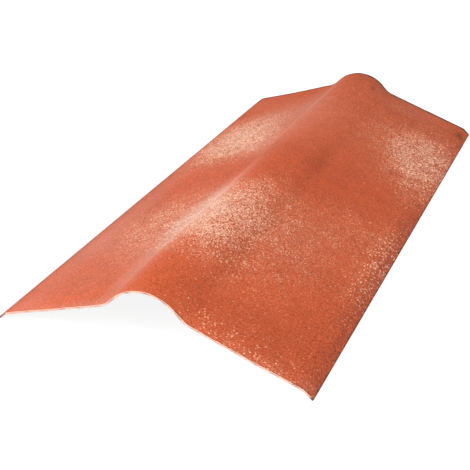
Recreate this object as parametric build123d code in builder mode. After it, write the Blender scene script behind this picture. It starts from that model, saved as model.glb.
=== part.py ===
"""Ridge cap of corrugated bitumen roofing: one pressed sheet, lying on its two long lips.

Millimetres, +X across the ridge, +Y along it, +Z up. The origin is on the floor,
under the middle of the crest.
"""
import os
from math import cos, radians, sin

from build123d import *

# The sheet as it is sold
LENGTH = 1000.0
WIDTH = 485.0
THICKNESS = 3.0

# Rounded crest that sits over the ridge board, measured on the top face
CREST_RADIUS = 68.0
FLANK_SLOPE = 45.0
FLANK_LENGTH = 12.0

# Hollow between the crest and each flat wing, measured on the top face
VALLEY_RADIUS = 32.0
WING_SLOPE = 19.0

# Lip turned down along each long edge, measured on the top face
LIP_FOLD_RADIUS = 14.0
LIP_SLOPE = 42.0
LIP_LENGTH = 15.0

flank, wing, lip = (radians(slope) for slope in (FLANK_SLOPE, WING_SLOPE, LIP_SLOPE))

# Each wing takes up what the crest, the valley and the lip leave of half the width
crest_reach = CREST_RADIUS * sin(flank) + FLANK_LENGTH * cos(flank)
valley_reach = VALLEY_RADIUS * (sin(flank) - sin(wing))
lip_reach = LIP_FOLD_RADIUS * (sin(lip) - sin(wing)) + LIP_LENGTH * cos(lip)
wing_length = (WIDTH / 2 - crest_reach - valley_reach - lip_reach) / cos(wing)

# The crest stands as high as the sheet falls from it to the lower edge of a lip
crest_drop = CREST_RADIUS * (1 - cos(flank)) + FLANK_LENGTH * sin(flank)
valley_drop = VALLEY_RADIUS * (cos(wing) - cos(flank))
lip_drop = LIP_FOLD_RADIUS * (cos(wing) - cos(lip)) + LIP_LENGTH * sin(lip)
lip_edge_drop = THICKNESS * cos(lip)
height = crest_drop + valley_drop + wing_length * sin(wing) + lip_drop + lip_edge_drop

os.makedirs("parts", exist_ok=True)

with BuildPart() as ridge_cap:
    with BuildSketch(Plane.XZ):
        with BuildLine():
            # Top face, from the middle of the crest down to the tip of the right lip
            crest = JernArc((0, height), (1, 0), CREST_RADIUS, -FLANK_SLOPE)
            crest_flank = PolarLine(crest @ 1, FLANK_LENGTH, -FLANK_SLOPE)
            valley = JernArc(crest_flank @ 1, crest_flank % 1, VALLEY_RADIUS, FLANK_SLOPE - WING_SLOPE)
            flat_wing = PolarLine(valley @ 1, wing_length, -WING_SLOPE)
            lip_fold = JernArc(flat_wing @ 1, flat_wing % 1, LIP_FOLD_RADIUS, WING_SLOPE - LIP_SLOPE)
            lip_flat = PolarLine(lip_fold @ 1, LIP_LENGTH, -LIP_SLOPE)

            # Underside, one thickness below it all the way, with the same straight lengths
            low_start = (0, height - THICKNESS)
            low_crest = JernArc(low_start, (1, 0), CREST_RADIUS - THICKNESS, -FLANK_SLOPE)
            low_flank = PolarLine(low_crest @ 1, FLANK_LENGTH, -FLANK_SLOPE)
            low_valley_radius = VALLEY_RADIUS + THICKNESS
            low_valley = JernArc(low_flank @ 1, low_flank % 1, low_valley_radius, FLANK_SLOPE - WING_SLOPE)
            low_wing = PolarLine(low_valley @ 1, wing_length, -WING_SLOPE)
            low_fold_radius = LIP_FOLD_RADIUS - THICKNESS
            low_fold = JernArc(low_wing @ 1, low_wing % 1, low_fold_radius, WING_SLOPE - LIP_SLOPE)
            low_lip = PolarLine(low_fold @ 1, LIP_LENGTH, -LIP_SLOPE)

            # Square cut edge of the lip, then the left half
            Line(lip_flat @ 1, low_lip @ 1)
            mirror(about=Plane.YZ)
        make_face()
    extrude(amount=LENGTH / 2, both=True)

ridge_cap.part.label = "ridge_cap"
export_step(ridge_cap.part, "parts/ridge_cap.step")
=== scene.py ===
from math import radians

import bpy
import numpy as np
from mathutils import Matrix, Vector


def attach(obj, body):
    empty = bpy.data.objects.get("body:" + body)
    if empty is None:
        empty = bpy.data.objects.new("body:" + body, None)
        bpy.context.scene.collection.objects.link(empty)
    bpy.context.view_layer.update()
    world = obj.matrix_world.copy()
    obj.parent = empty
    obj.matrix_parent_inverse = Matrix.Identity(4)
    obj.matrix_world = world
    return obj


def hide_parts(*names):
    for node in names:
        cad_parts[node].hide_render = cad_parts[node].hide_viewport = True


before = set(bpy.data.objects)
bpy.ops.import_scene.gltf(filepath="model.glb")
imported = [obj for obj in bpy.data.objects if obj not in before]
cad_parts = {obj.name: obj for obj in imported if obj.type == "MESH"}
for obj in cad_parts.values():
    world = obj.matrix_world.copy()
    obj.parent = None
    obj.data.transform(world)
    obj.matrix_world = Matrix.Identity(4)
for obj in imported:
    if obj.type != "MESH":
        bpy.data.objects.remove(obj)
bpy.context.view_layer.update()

# Ridge cap. One sheet of bitumen-soaked cellulose fibre, pressed while soft over a form with one
# round crest, two flat wings and a lip along each long edge, then cut square at both ends.
# It lies loose on its two lips, as it does before it is nailed along a roof ridge.
SHEET_LENGTH = 1.000
SHEET_WIDTH = 0.485
SHEET_THICKNESS = 0.003
CREST_RADIUS = 0.068
FLANK_SLOPE = radians(45)
FLANK_LENGTH = 0.012
VALLEY_RADIUS = 0.032
WING_SLOPE = radians(19)
LIP_FOLD_RADIUS = 0.014
LIP_SLOPE = radians(42)
LIP_LENGTH = 0.015
EDGE_ROUNDING = 0.0006

crest_turn = CREST_RADIUS * FLANK_SLOPE
valley_turn = VALLEY_RADIUS * (FLANK_SLOPE - WING_SLOPE)
lip_turn = LIP_FOLD_RADIUS * (LIP_SLOPE - WING_SLOPE)
crest_reach = CREST_RADIUS * np.sin(FLANK_SLOPE) + FLANK_LENGTH * np.cos(FLANK_SLOPE)
valley_reach = VALLEY_RADIUS * (np.sin(FLANK_SLOPE) - np.sin(WING_SLOPE))
lip_reach = LIP_FOLD_RADIUS * (np.sin(LIP_SLOPE) - np.sin(WING_SLOPE)) + LIP_LENGTH * np.cos(LIP_SLOPE)
wing_length = (SHEET_WIDTH / 2 - crest_reach - valley_reach - lip_reach) / np.cos(WING_SLOPE)

# Distances over the top face from the crest line to each change of slope, and the slope there
stations = np.cumsum([0, crest_turn, FLANK_LENGTH, valley_turn, wing_length, lip_turn, LIP_LENGTH])
slopes = np.array([0, FLANK_SLOPE, FLANK_SLOPE, WING_SLOPE, WING_SLOPE, LIP_SLOPE, LIP_SLOPE])
half_girth = stations[-1]

# Reach and drop of the top face, added up in fine steps from the crest line to the tip of a lip
FINE_STEP_COUNT = 20000
fine_steps = np.linspace(0, half_girth, FINE_STEP_COUNT + 1)
middle_slopes = np.interp((fine_steps[1:] + fine_steps[:-1]) / 2, stations, slopes)
fine_reach = np.concatenate([[0], np.cumsum(np.cos(middle_slopes)) * fine_steps[1]])
fine_drop = np.concatenate([[0], np.cumsum(np.sin(middle_slopes)) * fine_steps[1]])
crest_height = fine_drop[-1] + SHEET_THICKNESS * np.cos(LIP_SLOPE)

# Long slow waves in the sheet: depth, length along it, slant across it and phase in radians
SAG_WAVES = (
    (0.0012, 0.47, 0.2244, 2.6),
    (0.0006, 0.29, 0.9, 0.8),
    (0.0004, 0.13, -0.5, 4.1),
)
SAG_FADE = 0.10


def sag(across, along):
    """How far the soft sheet has sunk below its form: a sum of sine waves that run along it at a slant,
    each between nothing and its own depth, faded out towards the lips that it lies on."""
    sunk = 0.0
    for depth, length, slant, phase in SAG_WAVES:
        sunk = sunk + depth / 2 * (1 + np.sin(2 * np.pi * (along + slant * across) / length + phase))
    return sunk * np.clip((half_girth - np.abs(across)) / SAG_FADE, 0, 1)


def bent_sheet(across, along, depth):
    """Point at a distance across the sheet from the crest line, a distance along it and a depth below
    its top face. The top face's slope runs evenly from station to station, so adding up the cosine
    and the sine of that slope gives its reach and drop, and depth is measured square to the face."""
    girth = np.abs(across)
    side = np.sign(across)
    slope = np.interp(girth, stations, slopes)
    below = depth + sag(across, along)
    x = side * (np.interp(girth, fine_steps, fine_reach) - below * np.sin(slope))
    z = crest_height - np.interp(girth, fine_steps, fine_drop) - below * np.cos(slope)
    return np.stack([x, along + 0 * x, z], axis=-1)


def spread(start, end, step):
    """Evenly spaced values from start up to, but not including, end, no further apart than step."""
    return np.linspace(start, end, max(1, int(np.ceil((end - start) / step))), endpoint=False)


# Columns of the top face, with one spacing each for crest, flank, valley, wing, lip fold and lip,
# and three that close up to the rounding of the long edge
COLUMN_STEPS = (0.0026, 0.003, 0.0016, 0.0060, 0.0009, 0.0028)
LAST_COLUMNS = np.array([0.0012, 0.0005, 0])
LAST_COLUMN_GAP = 0.0005
last_columns = half_girth - EDGE_ROUNDING - LAST_COLUMNS
right_columns = np.concatenate([
    spread(start, end, step) for start, end, step in zip(stations[:-1], stations[1:], COLUMN_STEPS)])
right_columns = right_columns[right_columns < last_columns[0] - LAST_COLUMN_GAP]
right_columns = np.concatenate([right_columns, last_columns])
top_columns = np.concatenate([-right_columns[:0:-1], right_columns])

# The section's outline goes over the top face, round the right edge, back under and round the left
CORNER_STEPS = 4
EDGE_LEVELS = 4
quarter = np.linspace(0, np.pi / 2, CORNER_STEPS + 1)[1:-1]
edge_depths = np.linspace(EDGE_ROUNDING, SHEET_THICKNESS - EDGE_ROUNDING, EDGE_LEVELS)
corner_across = half_girth - EDGE_ROUNDING * (1 - np.sin(quarter))
corner_depth = EDGE_ROUNDING * (1 - np.cos(quarter))
right_edge_across = np.concatenate([corner_across, 0 * edge_depths + half_girth, corner_across[::-1]])
right_edge_depth = np.concatenate([corner_depth, edge_depths, SHEET_THICKNESS - corner_depth[::-1]])
edge_turn = np.concatenate([quarter, 0 * edge_depths + np.pi / 2, np.pi - quarter[::-1]])
outline_across = np.concatenate([
    top_columns, right_edge_across, top_columns[::-1], -right_edge_across[::-1]])
outline_depth = np.concatenate([
    0 * top_columns, right_edge_depth, 0 * top_columns + SHEET_THICKNESS, right_edge_depth[::-1]])
outline_turn = np.concatenate([
    0 * top_columns, edge_turn, 0 * top_columns + np.pi, np.pi + edge_turn])
outline_out = np.stack([np.sin(outline_turn), -np.cos(outline_turn)])

# Rows along the sheet: the outline shrinks a little at both cut ends, which rounds their edges
END_LEVELS = 4
END_SHRINK_SHARE = 0.8
END_ROWS = np.array([0.0009, 0.0018])
END_MARGIN = 0.004
ROW_STEP = 0.005
half_length = SHEET_LENGTH / 2
end_turn = np.linspace(np.pi / 2, 0, END_LEVELS)
end_along = half_length - EDGE_ROUNDING * (1 - np.sin(end_turn))
end_shrink = EDGE_ROUNDING * (1 - np.cos(end_turn)) * END_SHRINK_SHARE
inner_rows = spread(-half_length + END_MARGIN, half_length - END_MARGIN, ROW_STEP)
near_rows = -half_length + END_ROWS
row_along = np.concatenate([-end_along, near_rows, inner_rows, -near_rows[::-1], end_along[::-1]])
row_shrink = np.concatenate([end_shrink, 0 * near_rows, 0 * inner_rows, 0 * near_rows, end_shrink[::-1]])

# The knife wandered a little, so the last few millimetres at both ends are drawn in unevenly
CUT_REACH = 0.006
KNIFE_DEPTH = 0.00022
KNIFE_WAVE = 0.0111
KNIFE_PHASE = 1.0
KNIFE_RIPPLE = 0.0047
KNIFE_LAYER = 0.001


def knife_wander(across, depth):
    """How far the knife strayed into the sheet: the sine of a long wave across it plus the sine of a
    short ripple that shifts with depth, raised so that it never comes below nothing."""
    wave = np.sin(across / KNIFE_WAVE + KNIFE_PHASE)
    ripple = np.sin(across / KNIFE_RIPPLE + depth / KNIFE_LAYER)
    return KNIFE_DEPTH * (2 + wave + ripple)


across = outline_across - row_shrink[:, None] * outline_out[0]
depth = outline_depth - row_shrink[:, None] * outline_out[1]
end_share = np.clip((np.abs(row_along) - half_length + CUT_REACH) / CUT_REACH, 0, 1)[:, None]
along = row_along[:, None] - np.sign(row_along)[:, None] * end_share * knife_wander(across, depth)
points = bent_sheet(across, along, depth)

row_count, outline_count = across.shape
row = np.arange(row_count - 1)[:, None]
spot = np.arange(outline_count)[None, :]
next_spot = (spot + 1) % outline_count
wall_faces = np.stack([
    row * outline_count + spot, (row + 1) * outline_count + spot,
    (row + 1) * outline_count + next_spot, row * outline_count + next_spot], axis=-1)[..., ::-1]
# A cut end joins each point of the outline's upper half to the one straight below it
upper = np.arange(-(len(edge_turn) // 2), len(top_columns) + len(edge_turn) // 2 - 1)
lower = 2 * len(top_columns) + len(edge_turn) - 1 - upper
near_end = np.stack([upper, upper + 1, lower - 1, lower], axis=-1) % outline_count
far_end = near_end[:, ::-1] + (row_count - 1) * outline_count
faces = np.concatenate([wall_faces.reshape(-1, 4), near_end, far_end])

sheet_mesh = bpy.data.meshes.new("ridge_cap_sheet")
sheet_mesh.from_pydata(points.reshape(-1, 3), [], faces)
sheet_place = np.stack([across, along, depth], axis=-1).astype(np.float32)
kept_place = sheet_mesh.attributes.new("sheet_place", "FLOAT_VECTOR", "POINT")
kept_place.data.foreach_set("vector", sheet_place.ravel())
sheet_mesh.polygons.foreach_set("use_smooth", np.ones(len(faces), dtype=bool))

# Finish of each face: paint on top and half way round its long corners, bare bitumen on the long edges
# and the underside, cut fibre at both ends, its pale colour largely painted light, where the paint of the
# far end reaches over its rim
PAINTED, BARE, CUT = 0, 1, 2
PAINTED_CORNER_STEPS = 2
end_steps = END_LEVELS - 1
wall_kind = np.full((row_count - 1, outline_count), BARE)
wall_kind[:, :len(top_columns) - 1 + PAINTED_CORNER_STEPS] = PAINTED
wall_kind[:, -PAINTED_CORNER_STEPS:] = PAINTED
wall_kind[:end_steps] = CUT
wall_kind[-end_steps:] = np.where(wall_kind[-end_steps:] == BARE, CUT, PAINTED)
kinds = np.concatenate([wall_kind.ravel(), np.full(len(near_end) + len(far_end), CUT)])
sheet_mesh.polygons.foreach_set("material_index", kinds.astype(np.int32))
sheet_mesh.update()
sheet_mesh.validate()
ridge_cap = bpy.data.objects.new("ridge_cap_sheet", sheet_mesh)
bpy.context.collection.objects.link(ridge_cap)
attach(ridge_cap, "root")
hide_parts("ridge_cap")

# Resin paint on the top face: satin brick red, baked on over the pebbled skin of the fibres. Pale resin
# has dried on it in soft-edged clouds of dust, grains and coarse flecks, which are partly painted glints of
# light, and in thin smooth films of painted sheen, and the paint is stained, given painted shade and
# painted light in places, and worn on the lips and at the rims.

# Each row of the next four lists is one soft patch on the sheet: the place of its middle across and
# along, its reach across and along, and its share. In a cloud the share is what pale grains and painted
# glints cover, and a share below nothing is a thinner place in the clouds around it
GRAIN_AND_GLINT_CLOUDS = (
    (-0.044, -0.218, 0.048, 0.115, 0.27),
    (0.018, -0.235, 0.047, 0.118, 0.22),
    (0.085, -0.190, 0.022, 0.045, 0.04),
    (0.062, -0.262, 0.022, 0.035, -0.04),
    (0.075, -0.120, 0.030, 0.045, 0.025),
    (0.035, -0.100, 0.045, 0.060, 0.045),
    (-0.130, -0.210, 0.085, 0.130, 0.205),
    (0.105, -0.205, 0.110, 0.155, 0.15),
    (0.040, -0.340, 0.060, 0.070, 0.06),
    (-0.090, -0.370, 0.050, 0.070, 0.045),
    (-0.022, -0.345, 0.030, 0.050, 0.05),
    (-0.178, 0.197, 0.082, 0.137, 0.41),
    (-0.105, 0.135, 0.045, 0.080, 0.12),
    (-0.071, -0.095, 0.014, 0.060, 0.11),
    (-0.125, -0.075, 0.050, 0.060, 0.02),
    (0.195, -0.070, 0.060, 0.080, 0.08),
    (0.040, 0.330, 0.130, 0.140, 0.07),
    (0.208, 0.275, 0.065, 0.115, 0.215),
    (0.150, 0.290, 0.070, 0.110, 0.09),
    (0.145, 0.245, 0.040, 0.050, 0.03),
    (0.190, 0.150, 0.080, 0.070, 0.05),
    (0.235, 0.145, 0.035, 0.110, 0.105),
    (0.262, 0.240, 0.022, 0.130, 0.075),
    (0.236, -0.160, 0.026, 0.150, 0.07),
    (0.228, -0.262, 0.022, 0.040, 0.035),
    (0.255, -0.002, 0.020, 0.030, 0.04),
    (0.140, -0.470, 0.120, 0.040, 0.04),
    (0.190, -0.500, 0.115, 0.020, 0.13),
    (0.130, -0.400, 0.130, 0.100, 0.02),
    (0.170, 0.465, 0.120, 0.050, 0.05),
    (-0.120, 0.385, 0.080, 0.090, 0.04),
)
# In a film of painted sheen the share is what a smooth pale haze of painted reflection covers
PAINTED_SHEEN_FILMS = (
    (-0.066, -0.185, 0.032, 0.125, 0.34),
    (-0.022, -0.248, 0.026, 0.080, 0.125),
    (-0.080, -0.400, 0.016, 0.110, 0.10),
    (-0.060, -0.410, 0.030, 0.100, 0.05),
    (-0.100, -0.300, 0.035, 0.080, 0.06),
    (0.000, 0.200, 0.060, 0.120, 0.03),
    (0.130, 0.465, 0.110, 0.045, 0.035),
    (0.060, 0.300, 0.250, 0.330, 0.026),
    (-0.040, 0.210, 0.055, 0.190, 0.06),
    (-0.097, 0.115, 0.025, 0.070, 0.06),
    (-0.115, 0.300, 0.035, 0.090, 0.04),
    (-0.170, -0.280, 0.100, 0.170, 0.055),
    (-0.190, -0.285, 0.045, 0.050, 0.03),
    (-0.150, -0.150, 0.110, 0.420, 0.025),
    (-0.150, 0.250, 0.090, 0.170, 0.09),
    (-0.074, 0.370, 0.030, 0.085, 0.09),
    (-0.235, 0.450, 0.045, 0.045, 0.045),
    (-0.070, 0.450, 0.030, 0.040, 0.035),
    (-0.228, -0.130, 0.030, 0.350, 0.09),
    (-0.047, -0.045, 0.026, 0.060, 0.03),
    (0.225, 0.345, 0.040, 0.050, 0.05),
    (0.258, -0.490, 0.020, 0.020, 0.025),
    (0.125, -0.190, 0.060, 0.090, 0.025),
    (-0.130, -0.498, 0.110, 0.014, 0.075),
    (-0.095, -0.487, 0.040, 0.016, 0.035),
    (-0.165, -0.430, 0.090, 0.045, 0.025),
    (-0.222, -0.480, 0.040, 0.030, 0.05),
)
# In a stain or a patch of painted shade the share is the light that it takes, and a share below nothing is a
# brighter place of painted light
STAINS_SHADE_AND_LIGHT = (
    (0.058, 0.062, 0.020, 0.060, 0.08),
    (0.064, -0.150, 0.016, 0.420, 0.06),
    (0.042, 0.452, 0.0062, 0.013, 0.36),
    (0.000, 0.470, 0.060, 0.040, 0.05),
    (0.251, 0.457, 0.010, 0.015, 0.37),
    (-0.050, -0.400, 0.020, 0.110, 0.05),
    (0.060, 0.490, 0.060, 0.016, 0.15),
    (0.190, 0.455, 0.110, 0.060, 0.10),
    (-0.130, 0.455, 0.060, 0.035, 0.04),
    (0.030, 0.260, 0.050, 0.170, -0.10),
    (-0.160, -0.030, 0.100, 0.120, -0.05),
    (0.020, -0.060, 0.050, 0.090, -0.09),
    (-0.045, 0.040, 0.030, 0.060, 0.05),
    (-0.165, 0.110, 0.050, 0.060, 0.05),
    (-0.170, -0.235, 0.045, 0.110, 0.08),
    (-0.180, -0.480, 0.080, 0.035, -0.10),
    (0.200, -0.400, 0.055, 0.090, 0.09),
    (0.150, -0.440, 0.110, 0.040, 0.05),
    (0.150, -0.496, 0.080, 0.014, -0.09),
    (-0.165, -0.430, 0.090, 0.050, 0.04),
    (0.215, 0.270, 0.060, 0.120, 0.07),
    (-0.005, -0.455, 0.045, 0.045, 0.05),
    (-0.062, -0.090, 0.026, 0.070, -0.07),
    (-0.095, -0.105, 0.032, 0.035, 0.05),
    (0.000, 0.280, 0.050, 0.120, -0.04),
    (0.052, -0.300, 0.016, 0.050, 0.06),
    (-0.050, -0.310, 0.020, 0.045, 0.08),
    (-0.185, 0.170, 0.040, 0.150, 0.08),
    (-0.048, 0.170, 0.016, 0.200, 0.06),
    (0.200, -0.060, 0.060, 0.090, 0.05),
)
# Here the share is what coarse bright flecks and painted glints cover
FLECKS_AND_GLINTS = (
    (0.247, -0.150, 0.024, 0.130, 0.36),
    (0.238, -0.320, 0.022, 0.110, 0.04),
    (0.138, -0.478, 0.112, 0.034, 0.14),
    (0.080, -0.478, 0.036, 0.030, 0.03),
    (0.130, -0.380, 0.120, 0.090, 0.02),
    (0.010, -0.250, 0.060, 0.110, 0.15),
    (0.218, 0.265, 0.068, 0.135, 0.34),
    (0.060, -0.335, 0.040, 0.050, 0.09),
    (0.215, -0.080, 0.045, 0.070, 0.05),
    (-0.185, 0.130, 0.070, 0.130, 0.10),
)
STRAY_GRAINS_AND_GLINTS = 0.008
PATCH_FALLOFF = 2.6


def scattered(patches):
    """Sum of soft round patches over the sheet: each is its share times e to the minus the distance
    from its middle, measured in its own reach across and along and raised to the falloff."""
    total = 0 * across
    for middle_across, middle_along, reach_across, reach_along, share in patches:
        off = ((across - middle_across) / reach_across) ** 2 + ((along - middle_along) / reach_along) ** 2
        total = total + share * np.exp(-off ** (PATCH_FALLOFF / 2))
    return total


def keep_on_points(name, values):
    """Stores one number for each point of the sheet's mesh, for the paint to read."""
    kept = sheet_mesh.attributes.new(name, "FLOAT", "POINT")
    kept.data.foreach_set("value", values.astype(np.float32).ravel())


# Where pale grains lie, partly painted glints of light
keep_on_points("grain_and_glint_cover", STRAY_GRAINS_AND_GLINTS + scattered(GRAIN_AND_GLINT_CLOUDS))
# Where coarse flecks lie, partly painted glints of light
keep_on_points("flecks_and_glints", scattered(FLECKS_AND_GLINTS))
# Where pale films of painted sheen lie
keep_on_points("painted_sheen", scattered(PAINTED_SHEEN_FILMS))
# Where stains, painted shade and painted light lie
keep_on_points("stain_shade_and_light", scattered(STAINS_SHADE_AND_LIGHT))


def add_node(tree, kind, options, inputs):
    """Adds one shader node: options are its own settings, and each input takes a number, a colour or
    another node's output."""
    node = tree.nodes.new(kind)
    for name, value in options.items():
        setattr(node, name, value)
    for name, value in inputs.items():
        if isinstance(value, bpy.types.NodeSocket):
            tree.links.new(value, node.inputs[name])
        else:
            node.inputs[name].default_value = value
    return node


def combine(tree, operation, first, second):
    """The sum, the larger one or another operation of two values."""
    return add_node(tree, "ShaderNodeMath", {"operation": operation}, {0: first, 1: second}).outputs["Value"]


def product(tree, first, *others):
    """All the values multiplied, one after another."""
    for other in others:
        first = combine(tree, "MULTIPLY", first, other)
    return first


def size_of(tree, value):
    """The value without its sign."""
    return combine(tree, "ABSOLUTE", value, 0.0)


NONE_TO_ALL = (0.0, 1.0)


def ramp(tree, value, span, result=NONE_TO_ALL):
    """Runs smoothly from the first to the second number of result while the value goes from the first
    to the second number of span, and stays there beyond."""
    return add_node(tree, "ShaderNodeMapRange", {"interpolation_type": "SMOOTHSTEP"}, {
        "Value": value, "From Min": span[0], "From Max": span[1],
        "To Min": result[0], "To Max": result[1]}).outputs["Result"]


def noise(tree, place, patches):
    """Random values that change smoothly from place to place: patches says how many lie along a metre,
    and how many times finer noise is added to break them up."""
    per_metre, detail = patches
    return add_node(tree, "ShaderNodeTexNoise", {}, {
        "Vector": place, "Scale": per_metre, "Detail": detail}).outputs["Fac"]


NOISE_SPAN = (0.27, 0.73)


def mottle(tree, place, patches, result=NONE_TO_ALL):
    """Soft random patches between the two numbers of result: a ramp over the span of the noise."""
    return ramp(tree, noise(tree, place, patches), NOISE_SPAN, result)


def blend(tree, share, under, over):
    """The under colour covered by the given share of the over colour."""
    return add_node(tree, "ShaderNodeMix", {"data_type": "RGBA"}, {
        "Factor": share, "A": under, "B": over}).outputs["Result"]


def read_points(tree, name):
    """The number that the mesh keeps on its points under that name."""
    return add_node(tree, "ShaderNodeAttribute", {"attribute_name": name}, {}).outputs["Fac"]


def sheet_distances(tree):
    """Three outputs, X, Y and Z: the distances across and along the sheet and the depth below its top
    face, as the mesh keeps them on its points."""
    kept = add_node(tree, "ShaderNodeAttribute", {"attribute_name": "sheet_place"}, {})
    return add_node(tree, "ShaderNodeSeparateXYZ", {}, {"Vector": kept.outputs["Vector"]}).outputs


def new_finish(name):
    """An empty material: the material, its node tree, its shader and the Object coordinates."""
    finish = bpy.data.materials.new(name)
    finish.use_nodes = True
    tree = finish.node_tree
    place = tree.nodes.new("ShaderNodeTexCoord").outputs["Object"]
    return finish, tree, tree.nodes["Principled BSDF"], place


def add_relief(tree, shader, height, strength, depth):
    """Tilts the surface's normal by the slope of a height that counts for depth metres, by strength."""
    bump = add_node(tree, "ShaderNodeBump", {}, {"Height": height, "Strength": strength, "Distance": depth})
    tree.links.new(bump.outputs["Normal"], shader.inputs["Normal"])


GRAIN_RIM = (0.80, 0.30)
GRAIN_DICE = (0.0, 1.3)
GRAIN_BRIGHTNESS = (0.12, 1.1)


def grains(tree, place, chance, per_metre):
    """How bright a pale grain is at each point: the surface is split into cells about one over per_metre
    wide, the given share of them holds a grain that fades out towards its cell's rim, and of two
    random numbers for each cell the first picks which and the second sets its brightness."""
    cells = add_node(tree, "ShaderNodeTexVoronoi", {}, {"Vector": place, "Scale": per_metre})
    dice = add_node(tree, "ShaderNodeSeparateColor", {}, {"Color": cells.outputs["Color"]}).outputs
    held = combine(tree, "LESS_THAN", dice["Red"], chance)
    body = ramp(tree, cells.outputs["Distance"], GRAIN_RIM)
    bright = ramp(tree, dice["Green"], GRAIN_DICE, GRAIN_BRIGHTNESS)
    return product(tree, held, body, bright)


paint, tree, shader, place = new_finish("brick_red_paint")
sheet = sheet_distances(tree)
girth = size_of(tree, sheet["X"])

# The red drifts slowly between two shades
DEEP_RED = (0.498, 0.090, 0.036, 1)
LIGHT_RED = (0.546, 0.102, 0.040, 1)
RED_PATCHES = (7.0, 3.0)
colour = blend(tree, mottle(tree, place, RED_PATCHES), DEEP_RED, LIGHT_RED)

# Worn lips: the paint is dull there in patches, least at the far end and most on the left lip
WORN_RED = (0.21, 0.066, 0.054, 1)
LIP_GIRTH = (0.228, 0.258)
LIP_PATCHES = (150.0, 3.0)
LIP_WEAR = (-0.05, 0.65)
FAR_LIP = (0.00, 0.13)
FAR_LIP_SHARE = (1.0, 0.1)
NEAR_LIP = (-0.32, -0.18)
NEAR_LIP_SHARE = (0.7, 1.0)
LEFT_LIP = (-0.2430, -0.2500)
LEFT_LIP_PATCHES = (110.0, 4.0)
LEFT_LIP_WEAR = (0.20, 0.95)
lip_wear = product(
    tree, ramp(tree, girth, LIP_GIRTH), mottle(tree, place, LIP_PATCHES, LIP_WEAR),
    ramp(tree, sheet["Y"], FAR_LIP, FAR_LIP_SHARE), ramp(tree, sheet["Y"], NEAR_LIP, NEAR_LIP_SHARE))
left_wear = product(
    tree, ramp(tree, sheet["X"], LEFT_LIP), mottle(tree, place, LEFT_LIP_PATCHES, LEFT_LIP_WEAR))
colour = blend(tree, combine(tree, "MAXIMUM", lip_wear, left_wear), colour, WORN_RED)

# Light and dark of the pebbled skin, stronger on the left wing, darkened by stains, by painted shade and by
# the pits that lie close together near the right lip, and lightened in places by painted light
SKIN_PATCHES = (380.0, 2.0)
SKIN_TONE = (0.78, 1.22)
SMEAR_PATCHES = (45.0, 3.0)
SMEAR_TONE = (0.95, 1.05)
LEFT_WING = (-0.06, -0.11)
LEFT_WING_PATCHES = (250.0, 2.0)
LEFT_WING_DARK = (1.0, 0.88)
LEFT_WING_LIGHT = (1.0, 1.12)
PIT_PLACE = (0.205, 0.245)
PIT_CHANCE = (0.02, 0.45)
PITS_PER_METRE = 420.0
PIT_DARKNESS = 0.35
left_tone = (
    ramp(tree, sheet["X"], LEFT_WING, LEFT_WING_DARK),
    ramp(tree, sheet["X"], LEFT_WING, LEFT_WING_LIGHT))
pits = grains(tree, place, ramp(tree, sheet["X"], PIT_PLACE, PIT_CHANCE), PITS_PER_METRE)
pits = product(tree, pits, PIT_DARKNESS)
stain_shade_light_and_pits = combine(tree, "ADD", read_points(tree, "stain_shade_and_light"), pits)
tone = product(
    tree, mottle(tree, place, SKIN_PATCHES, SKIN_TONE), mottle(tree, place, SMEAR_PATCHES, SMEAR_TONE),
    mottle(tree, place, LEFT_WING_PATCHES, left_tone), combine(tree, "SUBTRACT", 1.0, stain_shade_light_and_pits))
colour = add_node(tree, "ShaderNodeVectorMath", {"operation": "SCALE"}, {
    "Vector": colour, "Scale": tone}).outputs["Vector"]

# Dust, partly painted glints of light: it has settled on the pebbles and left the hollows between them
# red, and the pebbles are coarser on the left wing and at the far end
THIN_DUST_AND_GLINT = (0.87, 0.47, 0.31, 1)
THICK_DUST_AND_GLINT = (0.84, 0.53, 0.385, 1)
DUST_THICKENING = (0.15, 0.50)
CLOUD_PATCHES = (32.0, 3.0)
CLOUD_DENSITY = (0.75, 1.25)
FINE_PEBBLES = (320.0, 1.5)
COARSE_PEBBLES = (230.0, 1.5)
COARSE_LEFT = (-0.08, -0.12)
COARSE_FAR = (0.08, 0.16)
PEBBLE_TOPS = (0.475, 0.575)
DUST_ON_PEBBLES = (0.02, 2.15)
DUST_POWER = 1.4
grain_glint_cover = product(tree, read_points(tree, "grain_and_glint_cover"), mottle(tree, place, CLOUD_PATCHES, CLOUD_DENSITY))
coarse = combine(tree, "MAXIMUM", ramp(tree, sheet["X"], COARSE_LEFT), ramp(tree, sheet["Y"], COARSE_FAR))
pebbles = add_node(tree, "ShaderNodeMix", {}, {
    "Factor": coarse, "A": noise(tree, place, FINE_PEBBLES),
    "B": noise(tree, place, COARSE_PEBBLES)}).outputs["Result"]
dust_and_glints = product(
    tree, combine(tree, "POWER", grain_glint_cover, DUST_POWER), ramp(tree, pebbles, PEBBLE_TOPS, DUST_ON_PEBBLES))
colour = blend(tree, dust_and_glints, colour, blend(tree, ramp(tree, grain_glint_cover, DUST_THICKENING), THIN_DUST_AND_GLINT, THICK_DUST_AND_GLINT))

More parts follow.
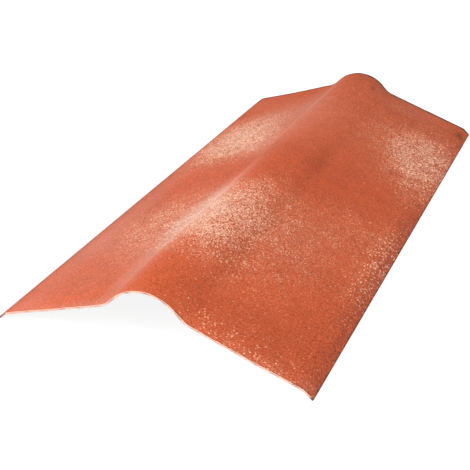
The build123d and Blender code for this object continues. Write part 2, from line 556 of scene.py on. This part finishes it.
# Grains, partly painted glints of light: small ones even in a thin cloud, and larger ones too in the thick
# of it
THIN_GRAIN_AND_GLINT = (0.98, 0.48, 0.29, 1)
THICK_GRAIN_AND_GLINT = (0.95, 0.59, 0.42, 1)
GRAIN_THICKENING = (0.10, 0.32)
SMALL_GRAINS_PER_METRE = 640.0
SMALL_GRAIN_START = 0.01
SMALL_GRAIN_CHANCE = 1.55
LARGE_GRAINS_PER_METRE = 400.0
LARGE_GRAIN_START = 0.04
LARGE_GRAIN_CHANCE = 0.80
GRAIN_COVER = (0.02, 0.30)
GRAIN_STRENGTH = (0.39, 1.45)
small_chance = product(tree, combine(tree, "SUBTRACT", grain_glint_cover, SMALL_GRAIN_START), SMALL_GRAIN_CHANCE)
large_chance = product(tree, combine(tree, "SUBTRACT", grain_glint_cover, LARGE_GRAIN_START), LARGE_GRAIN_CHANCE)
grain_and_glint = combine(
    tree, "MAXIMUM", grains(tree, place, small_chance, SMALL_GRAINS_PER_METRE),
    grains(tree, place, large_chance, LARGE_GRAINS_PER_METRE))
grain_and_glint = product(tree, grain_and_glint, ramp(tree, grain_glint_cover, GRAIN_COVER, GRAIN_STRENGTH))
grain_and_glint_colour = blend(tree, ramp(tree, grain_glint_cover, GRAIN_THICKENING), THIN_GRAIN_AND_GLINT, THICK_GRAIN_AND_GLINT)
colour = blend(tree, grain_and_glint, colour, grain_and_glint_colour)

# Coarse flecks, partly painted glints of light: larger in the far half, and brighter and paler where they
# lie close together
THIN_FLECK_AND_GLINT = (1.00, 0.50, 0.29, 1)
THICK_FLECK_AND_GLINT = (1.00, 0.60, 0.41, 1)
FLECK_THICKENING = (0.10, 0.30)
NEAR_FLECKS_PER_METRE = 400.0
FAR_FLECKS_PER_METRE = 260.0
FAR_FLECK_START = (0.00, 0.06)
FLECK_COVER = (0.00, 0.24)
FLECK_STRENGTH = (0.42, 1.15)
fleck_and_glint_chance = read_points(tree, "flecks_and_glints")
far_chance = product(tree, fleck_and_glint_chance, ramp(tree, sheet["Y"], FAR_FLECK_START))
near_chance = combine(tree, "SUBTRACT", fleck_and_glint_chance, far_chance)
fleck_and_glint = combine(
    tree, "MAXIMUM", grains(tree, place, near_chance, NEAR_FLECKS_PER_METRE),
    grains(tree, place, far_chance, FAR_FLECKS_PER_METRE))
fleck_and_glint = product(tree, fleck_and_glint, ramp(tree, fleck_and_glint_chance, FLECK_COVER, FLECK_STRENGTH))
fleck_and_glint_colour = blend(tree, ramp(tree, fleck_and_glint_chance, FLECK_THICKENING), THIN_FLECK_AND_GLINT, THICK_FLECK_AND_GLINT)
colour = blend(tree, fleck_and_glint, colour, fleck_and_glint_colour)

# Pale films of painted sheen and painted reflection over all of these
PAINTED_SHEEN_COLOUR = (0.66, 0.56, 0.49, 1)
colour = blend(tree, read_points(tree, "painted_sheen"), colour, PAINTED_SHEEN_COLOUR)

# Rims where the paint has rubbed through to the bitumen, raggedly: the lower edges of both lips, the
# far end and the right half of the near end
RUBBED_BITUMEN = (0.060, 0.035, 0.028, 1)
RIM_PATCHES = (160.0, 3.0)
RIM_WANDER = (-0.0012, 0.0012)
RIM_GIRTH = (half_girth - 0.0026, half_girth - 0.0010)
RIM_WEAR = (0.0, 0.8)
END_PATCHES = (120.0, 3.0)
END_WANDER = (-0.002, 0.002)
FAR_RIM = (half_length - 0.0085, half_length - 0.0040)
FAR_RIM_WEAR = (0.0, 0.85)
NEAR_RIM = (0.0022 - half_length, 0.0004 - half_length)
NEAR_RIM_WEAR = (0.0, 0.6)
NEAR_RIM_PLACE = (-0.01, 0.03)
ragged_girth = combine(tree, "ADD", girth, mottle(tree, place, RIM_PATCHES, RIM_WANDER))
rim_wear = ramp(tree, ragged_girth, RIM_GIRTH, RIM_WEAR)
ragged_along = combine(tree, "ADD", sheet["Y"], mottle(tree, place, END_PATCHES, END_WANDER))
far_wear = ramp(tree, ragged_along, FAR_RIM, FAR_RIM_WEAR)
near_wear = product(
    tree, ramp(tree, ragged_along, NEAR_RIM, NEAR_RIM_WEAR), ramp(tree, sheet["X"], NEAR_RIM_PLACE))
end_wear = combine(tree, "MAXIMUM", far_wear, near_wear)
colour = blend(tree, combine(tree, "MAXIMUM", rim_wear, end_wear), colour, RUBBED_BITUMEN)
tree.links.new(colour, shader.inputs["Base Color"])

# Satin gloss, duller where grains and painted glints lie, and the relief of pebbles and grains
SATIN_PATCHES = (60.0, 3.0)
SATIN_ROUGHNESS = (0.50, 0.64)
GRAIN_ROUGHNESS = 0.3
PAINT_SPECULAR = 0.04
GRAIN_HEIGHT = 0.4
SKIN_STRENGTH = 0.3
SKIN_DEPTH = 0.0006
satin = mottle(tree, place, SATIN_PATCHES, SATIN_ROUGHNESS)
roughness = combine(tree, "ADD", satin, product(tree, grain_glint_cover, GRAIN_ROUGHNESS))
tree.links.new(roughness, shader.inputs["Roughness"])
shader.inputs["Specular IOR Level"].default_value = PAINT_SPECULAR
skin_height = combine(tree, "ADD", pebbles, product(tree, grain_and_glint, GRAIN_HEIGHT))
add_relief(tree, shader, skin_height, SKIN_STRENGTH, SKIN_DEPTH)
sheet_mesh.materials.append(paint)

# Bare bitumen on the underside and the long edges: dull, nearly black, with matted fibres showing
# through it and a little red overspray that has crept under the lips and round the cut ends.
BLACK_BITUMEN = (0.016, 0.012, 0.010, 1)
BROWN_BITUMEN = (0.045, 0.033, 0.027, 1)
BITUMEN_PATCHES = (18.0, 4.0)
FIBRE_BROWN = (0.115, 0.085, 0.066, 1)
FIBRE_SHARE = 0.55
LENGTHWISE = (1.0, 0.16, 1.0)
LENGTHWISE_FIBRES = (900.0, 3.0)
LENGTHWISE_SHARE = (-0.6, 1.0)
CROSSWISE = (0.22, 1.0, 1.0)
CROSSWISE_FIBRES = (700.0, 3.0)
CROSSWISE_SHARE = (-0.7, 1.0)
OVERSPRAY_RED = (0.28, 0.060, 0.028, 1)
SPRAYED_GIRTH = (0.250, half_girth)
SPRAYED_LENGTH = (0.482, half_length)
SPRAYED_RIM = (0.0, 0.5)
SPRAY_PATCHES = (240.0, 4.0)
SPRAY_SPREAD = (0.0, 0.55)
SPRAY_START = (0.5, 0.85)
SPRAY_SHARE = (0.0, 0.75)
BITUMEN_GLOSS_PATCHES = (40.0, 3.0)
BITUMEN_ROUGHNESS = (0.55, 0.85)
LUMP_PATCHES = (130.0, 3.0)
LUMP_HEIGHT = (0.0, 1.4)
FIBRE_STRENGTH = 0.5
FIBRE_DEPTH = 0.0005


def stretched(tree, place, shares):
    """The place with its X, Y and Z each multiplied by a share: a small one draws a pattern out that way."""
    return add_node(tree, "ShaderNodeMapping", {}, {"Vector": place, "Scale": shares}).outputs["Vector"]


bitumen, tree, shader, place = new_finish("bare_bitumen")
sheet = sheet_distances(tree)
colour = blend(tree, mottle(tree, place, BITUMEN_PATCHES), BLACK_BITUMEN, BROWN_BITUMEN)
fibres = combine(
    tree, "MAXIMUM", mottle(tree, stretched(tree, place, LENGTHWISE), LENGTHWISE_FIBRES, LENGTHWISE_SHARE),
    mottle(tree, stretched(tree, place, CROSSWISE), CROSSWISE_FIBRES, CROSSWISE_SHARE))
colour = blend(tree, product(tree, fibres, FIBRE_SHARE), colour, FIBRE_BROWN)
rim = combine(
    tree, "MAXIMUM", ramp(tree, size_of(tree, sheet["X"]), SPRAYED_GIRTH, SPRAYED_RIM),
    ramp(tree, size_of(tree, sheet["Y"]), SPRAYED_LENGTH, SPRAYED_RIM))
spray = combine(tree, "ADD", rim, mottle(tree, place, SPRAY_PATCHES, SPRAY_SPREAD))
colour = blend(tree, ramp(tree, spray, SPRAY_START, SPRAY_SHARE), colour, OVERSPRAY_RED)
tree.links.new(colour, shader.inputs["Base Color"])
tree.links.new(mottle(tree, place, BITUMEN_GLOSS_PATCHES, BITUMEN_ROUGHNESS), shader.inputs["Roughness"])
fibre_height = combine(tree, "ADD", fibres, mottle(tree, place, LUMP_PATCHES, LUMP_HEIGHT))
add_relief(tree, shader, fibre_height, FIBRE_STRENGTH, FIBRE_DEPTH)
sheet_mesh.materials.append(bitumen)

# Cut ends: fibre where the knife went through the sheet, in thin layers, pale pinkish with painted light
# that falls on the cut, greyer where the bitumen of the underside begins and black with it at the tips of
# the lips.
PINK_FIBRE_PAINTED_LIGHT = (0.62, 0.30, 0.21, 1)
PALE_FIBRE_PAINTED_LIGHT = (0.72, 0.44, 0.34, 1)
LAYER_STRETCH = (0.15, 1.0, 1.0)
LAYERS = (1100.0, 3.0)
DUSTY_PINK = (0.62, 0.42, 0.36, 1)
DUSTY_PATCHES = (90.0, 3.0)
DUSTY_SHARE = (-0.5, 0.7)
GREY_FIBRE = (0.34, 0.25, 0.24, 1)
GREY_DEPTH = (0.0023, 0.0027)
GREY_SHARE = (0.0, 0.9)
GREY_PATCHES = (150.0, 2.0)
GREY_WANDER = (-0.0003, 0.0003)
LEFT_END_BROWN = (0.24, 0.13, 0.14, 1)
LEFT_END = (-0.2470, -0.2500)
LEFT_END_SHARE = (0.0, 0.9)
TIP_BLACK = (0.070, 0.050, 0.045, 1)
TIP_GIRTH = (0.2610, 0.2645)
TIP_SHARE = (0.0, 0.95)
CUT_ROUGHNESS = 0.85
LAYER_RIDGES = (900.0, 3.0)
LAYER_STRENGTH = 0.5
LAYER_DEPTH = 0.0003

cut_fibre_painted_light, tree, shader, place = new_finish("cut_fibre_painted_light")
sheet = sheet_distances(tree)
layers = stretched(tree, place, LAYER_STRETCH)
# Pale pink fibre colours, largely painted light on the cut ends
colour = blend(tree, mottle(tree, layers, LAYERS), PINK_FIBRE_PAINTED_LIGHT, PALE_FIBRE_PAINTED_LIGHT)
colour = blend(tree, mottle(tree, place, DUSTY_PATCHES, DUSTY_SHARE), colour, DUSTY_PINK)
ragged_depth = combine(tree, "ADD", sheet["Z"], mottle(tree, place, GREY_PATCHES, GREY_WANDER))
colour = blend(tree, ramp(tree, ragged_depth, GREY_DEPTH, GREY_SHARE), colour, GREY_FIBRE)
colour = blend(tree, ramp(tree, sheet["X"], LEFT_END, LEFT_END_SHARE), colour, LEFT_END_BROWN)
colour = blend(tree, ramp(tree, size_of(tree, sheet["X"]), TIP_GIRTH, TIP_SHARE), colour, TIP_BLACK)
tree.links.new(colour, shader.inputs["Base Color"])
shader.inputs["Roughness"].default_value = CUT_ROUGHNESS
add_relief(tree, shader, mottle(tree, layers, LAYER_RIDGES), LAYER_STRENGTH, LAYER_DEPTH)
sheet_mesh.materials.append(cut_fibre_painted_light)

# Studio floor: one wide sheet of plain white paper, laid flat under the cap on a table that is lit
# from below, so that it stays bright and takes only a faint shadow.
FLOOR_REACH = 12.0
FLOOR_CORNERS = np.array([(-1, -1, 0), (1, -1, 0), (1, 1, 0), (-1, 1, 0)])
PAPER_DARK = (0.26, 0.26, 0.26, 1)
PAPER_LIGHT = (0.29, 0.29, 0.29, 1)
PAPER_PATCHES = (3.0, 2.0)
PAPER_ROUGHNESS = 0.9
PAPER_GLOW = 0.82
WHITE = (1, 1, 1, 1)

floor_mesh = bpy.data.meshes.new("floor")
floor_mesh.from_pydata(FLOOR_REACH * FLOOR_CORNERS, [], [(0, 1, 2, 3)])
floor = bpy.data.objects.new("floor", floor_mesh)
bpy.context.collection.objects.link(floor)
white_paper, tree, shader, place = new_finish("white_paper")
colour = blend(tree, mottle(tree, place, PAPER_PATCHES), PAPER_DARK, PAPER_LIGHT)
tree.links.new(colour, shader.inputs["Base Color"])
shader.inputs["Roughness"].default_value = PAPER_ROUGHNESS
shader.inputs["Emission Color"].default_value = WHITE
shader.inputs["Emission Strength"].default_value = PAPER_GLOW
floor_mesh.materials.append(white_paper)

# Studio light: a room with bright white walls on the camera's side and dim ones behind the cap, one
# soft lamp far to the left, one in front on the left, and a low one that shines under the near end.
BRIGHT_SIDE = 1.58
DIM_SIDE = 0.15
SIDE_TURN = (-0.35, 0.35)
room = bpy.data.worlds.new("room")
room.use_nodes = True
tree = room.node_tree
toward = add_node(tree, "ShaderNodeSeparateXYZ", {}, {
    "Vector": tree.nodes.new("ShaderNodeTexCoord").outputs["Generated"]})
wall = ramp(tree, toward.outputs["Y"], SIDE_TURN, (BRIGHT_SIDE, DIM_SIDE))
tree.links.new(wall, tree.nodes["Background"].inputs["Strength"])
tree.nodes["Background"].inputs["Color"].default_value = WHITE
bpy.context.scene.world = room


def soft_lamp(name, place, aim, size, power):
    """A square lamp of the given side, facing from its place to its aim."""
    light = bpy.data.lights.new(name, "AREA")
    light.size = size
    light.energy = power
    lamp = bpy.data.objects.new(name, light)
    lamp.location = place
    lamp.rotation_euler = (Vector(aim) - Vector(place)).to_track_quat("-Z", "Y").to_euler()
    bpy.context.collection.objects.link(lamp)


soft_lamp("left_lamp", place=(-2.2, 0.1, 0.45), aim=(-0.1, 0, 0.05), size=0.9, power=13.0)
soft_lamp("front_lamp", place=(-0.9, -1.6, 1.0), aim=(-0.1, -0.4, 0.05), size=0.8, power=14.0)
soft_lamp("low_lamp", place=(0.1, -1.9, 0.25), aim=(0, -0.4, 0.03), size=0.6, power=22.0)
bpy.context.scene.view_settings.view_transform = "Standard"

# Camera: a long lens at about table height above the floor, a little to the right of the cap's near
# end, turned so that the crest runs away to the upper right.
CAMERA_PLACE = Vector((0.54229, -1.46225, 0.76503))
CAMERA_AIM = Vector((0.00617, -0.20614, 0.05000))
CAMERA_ROLL = radians(0.383)
FOCAL_PIXELS = 971.8
IMAGE_PIXELS = 470
SENSOR_WIDTH = 36.0
camera_data = bpy.data.cameras.new("camera")
camera_data.sensor_fit = "HORIZONTAL"
camera_data.sensor_width = SENSOR_WIDTH
camera_data.lens = FOCAL_PIXELS / IMAGE_PIXELS * SENSOR_WIDTH
camera = bpy.data.objects.new("camera", camera_data)
turn = (CAMERA_AIM - CAMERA_PLACE).to_track_quat("-Z", "Y").to_matrix().to_4x4()
camera.matrix_world = Matrix.Translation(CAMERA_PLACE) @ turn @ Matrix.Rotation(CAMERA_ROLL, 4, "Z")
bpy.context.collection.objects.link(camera)
bpy.context.scene.camera = camera
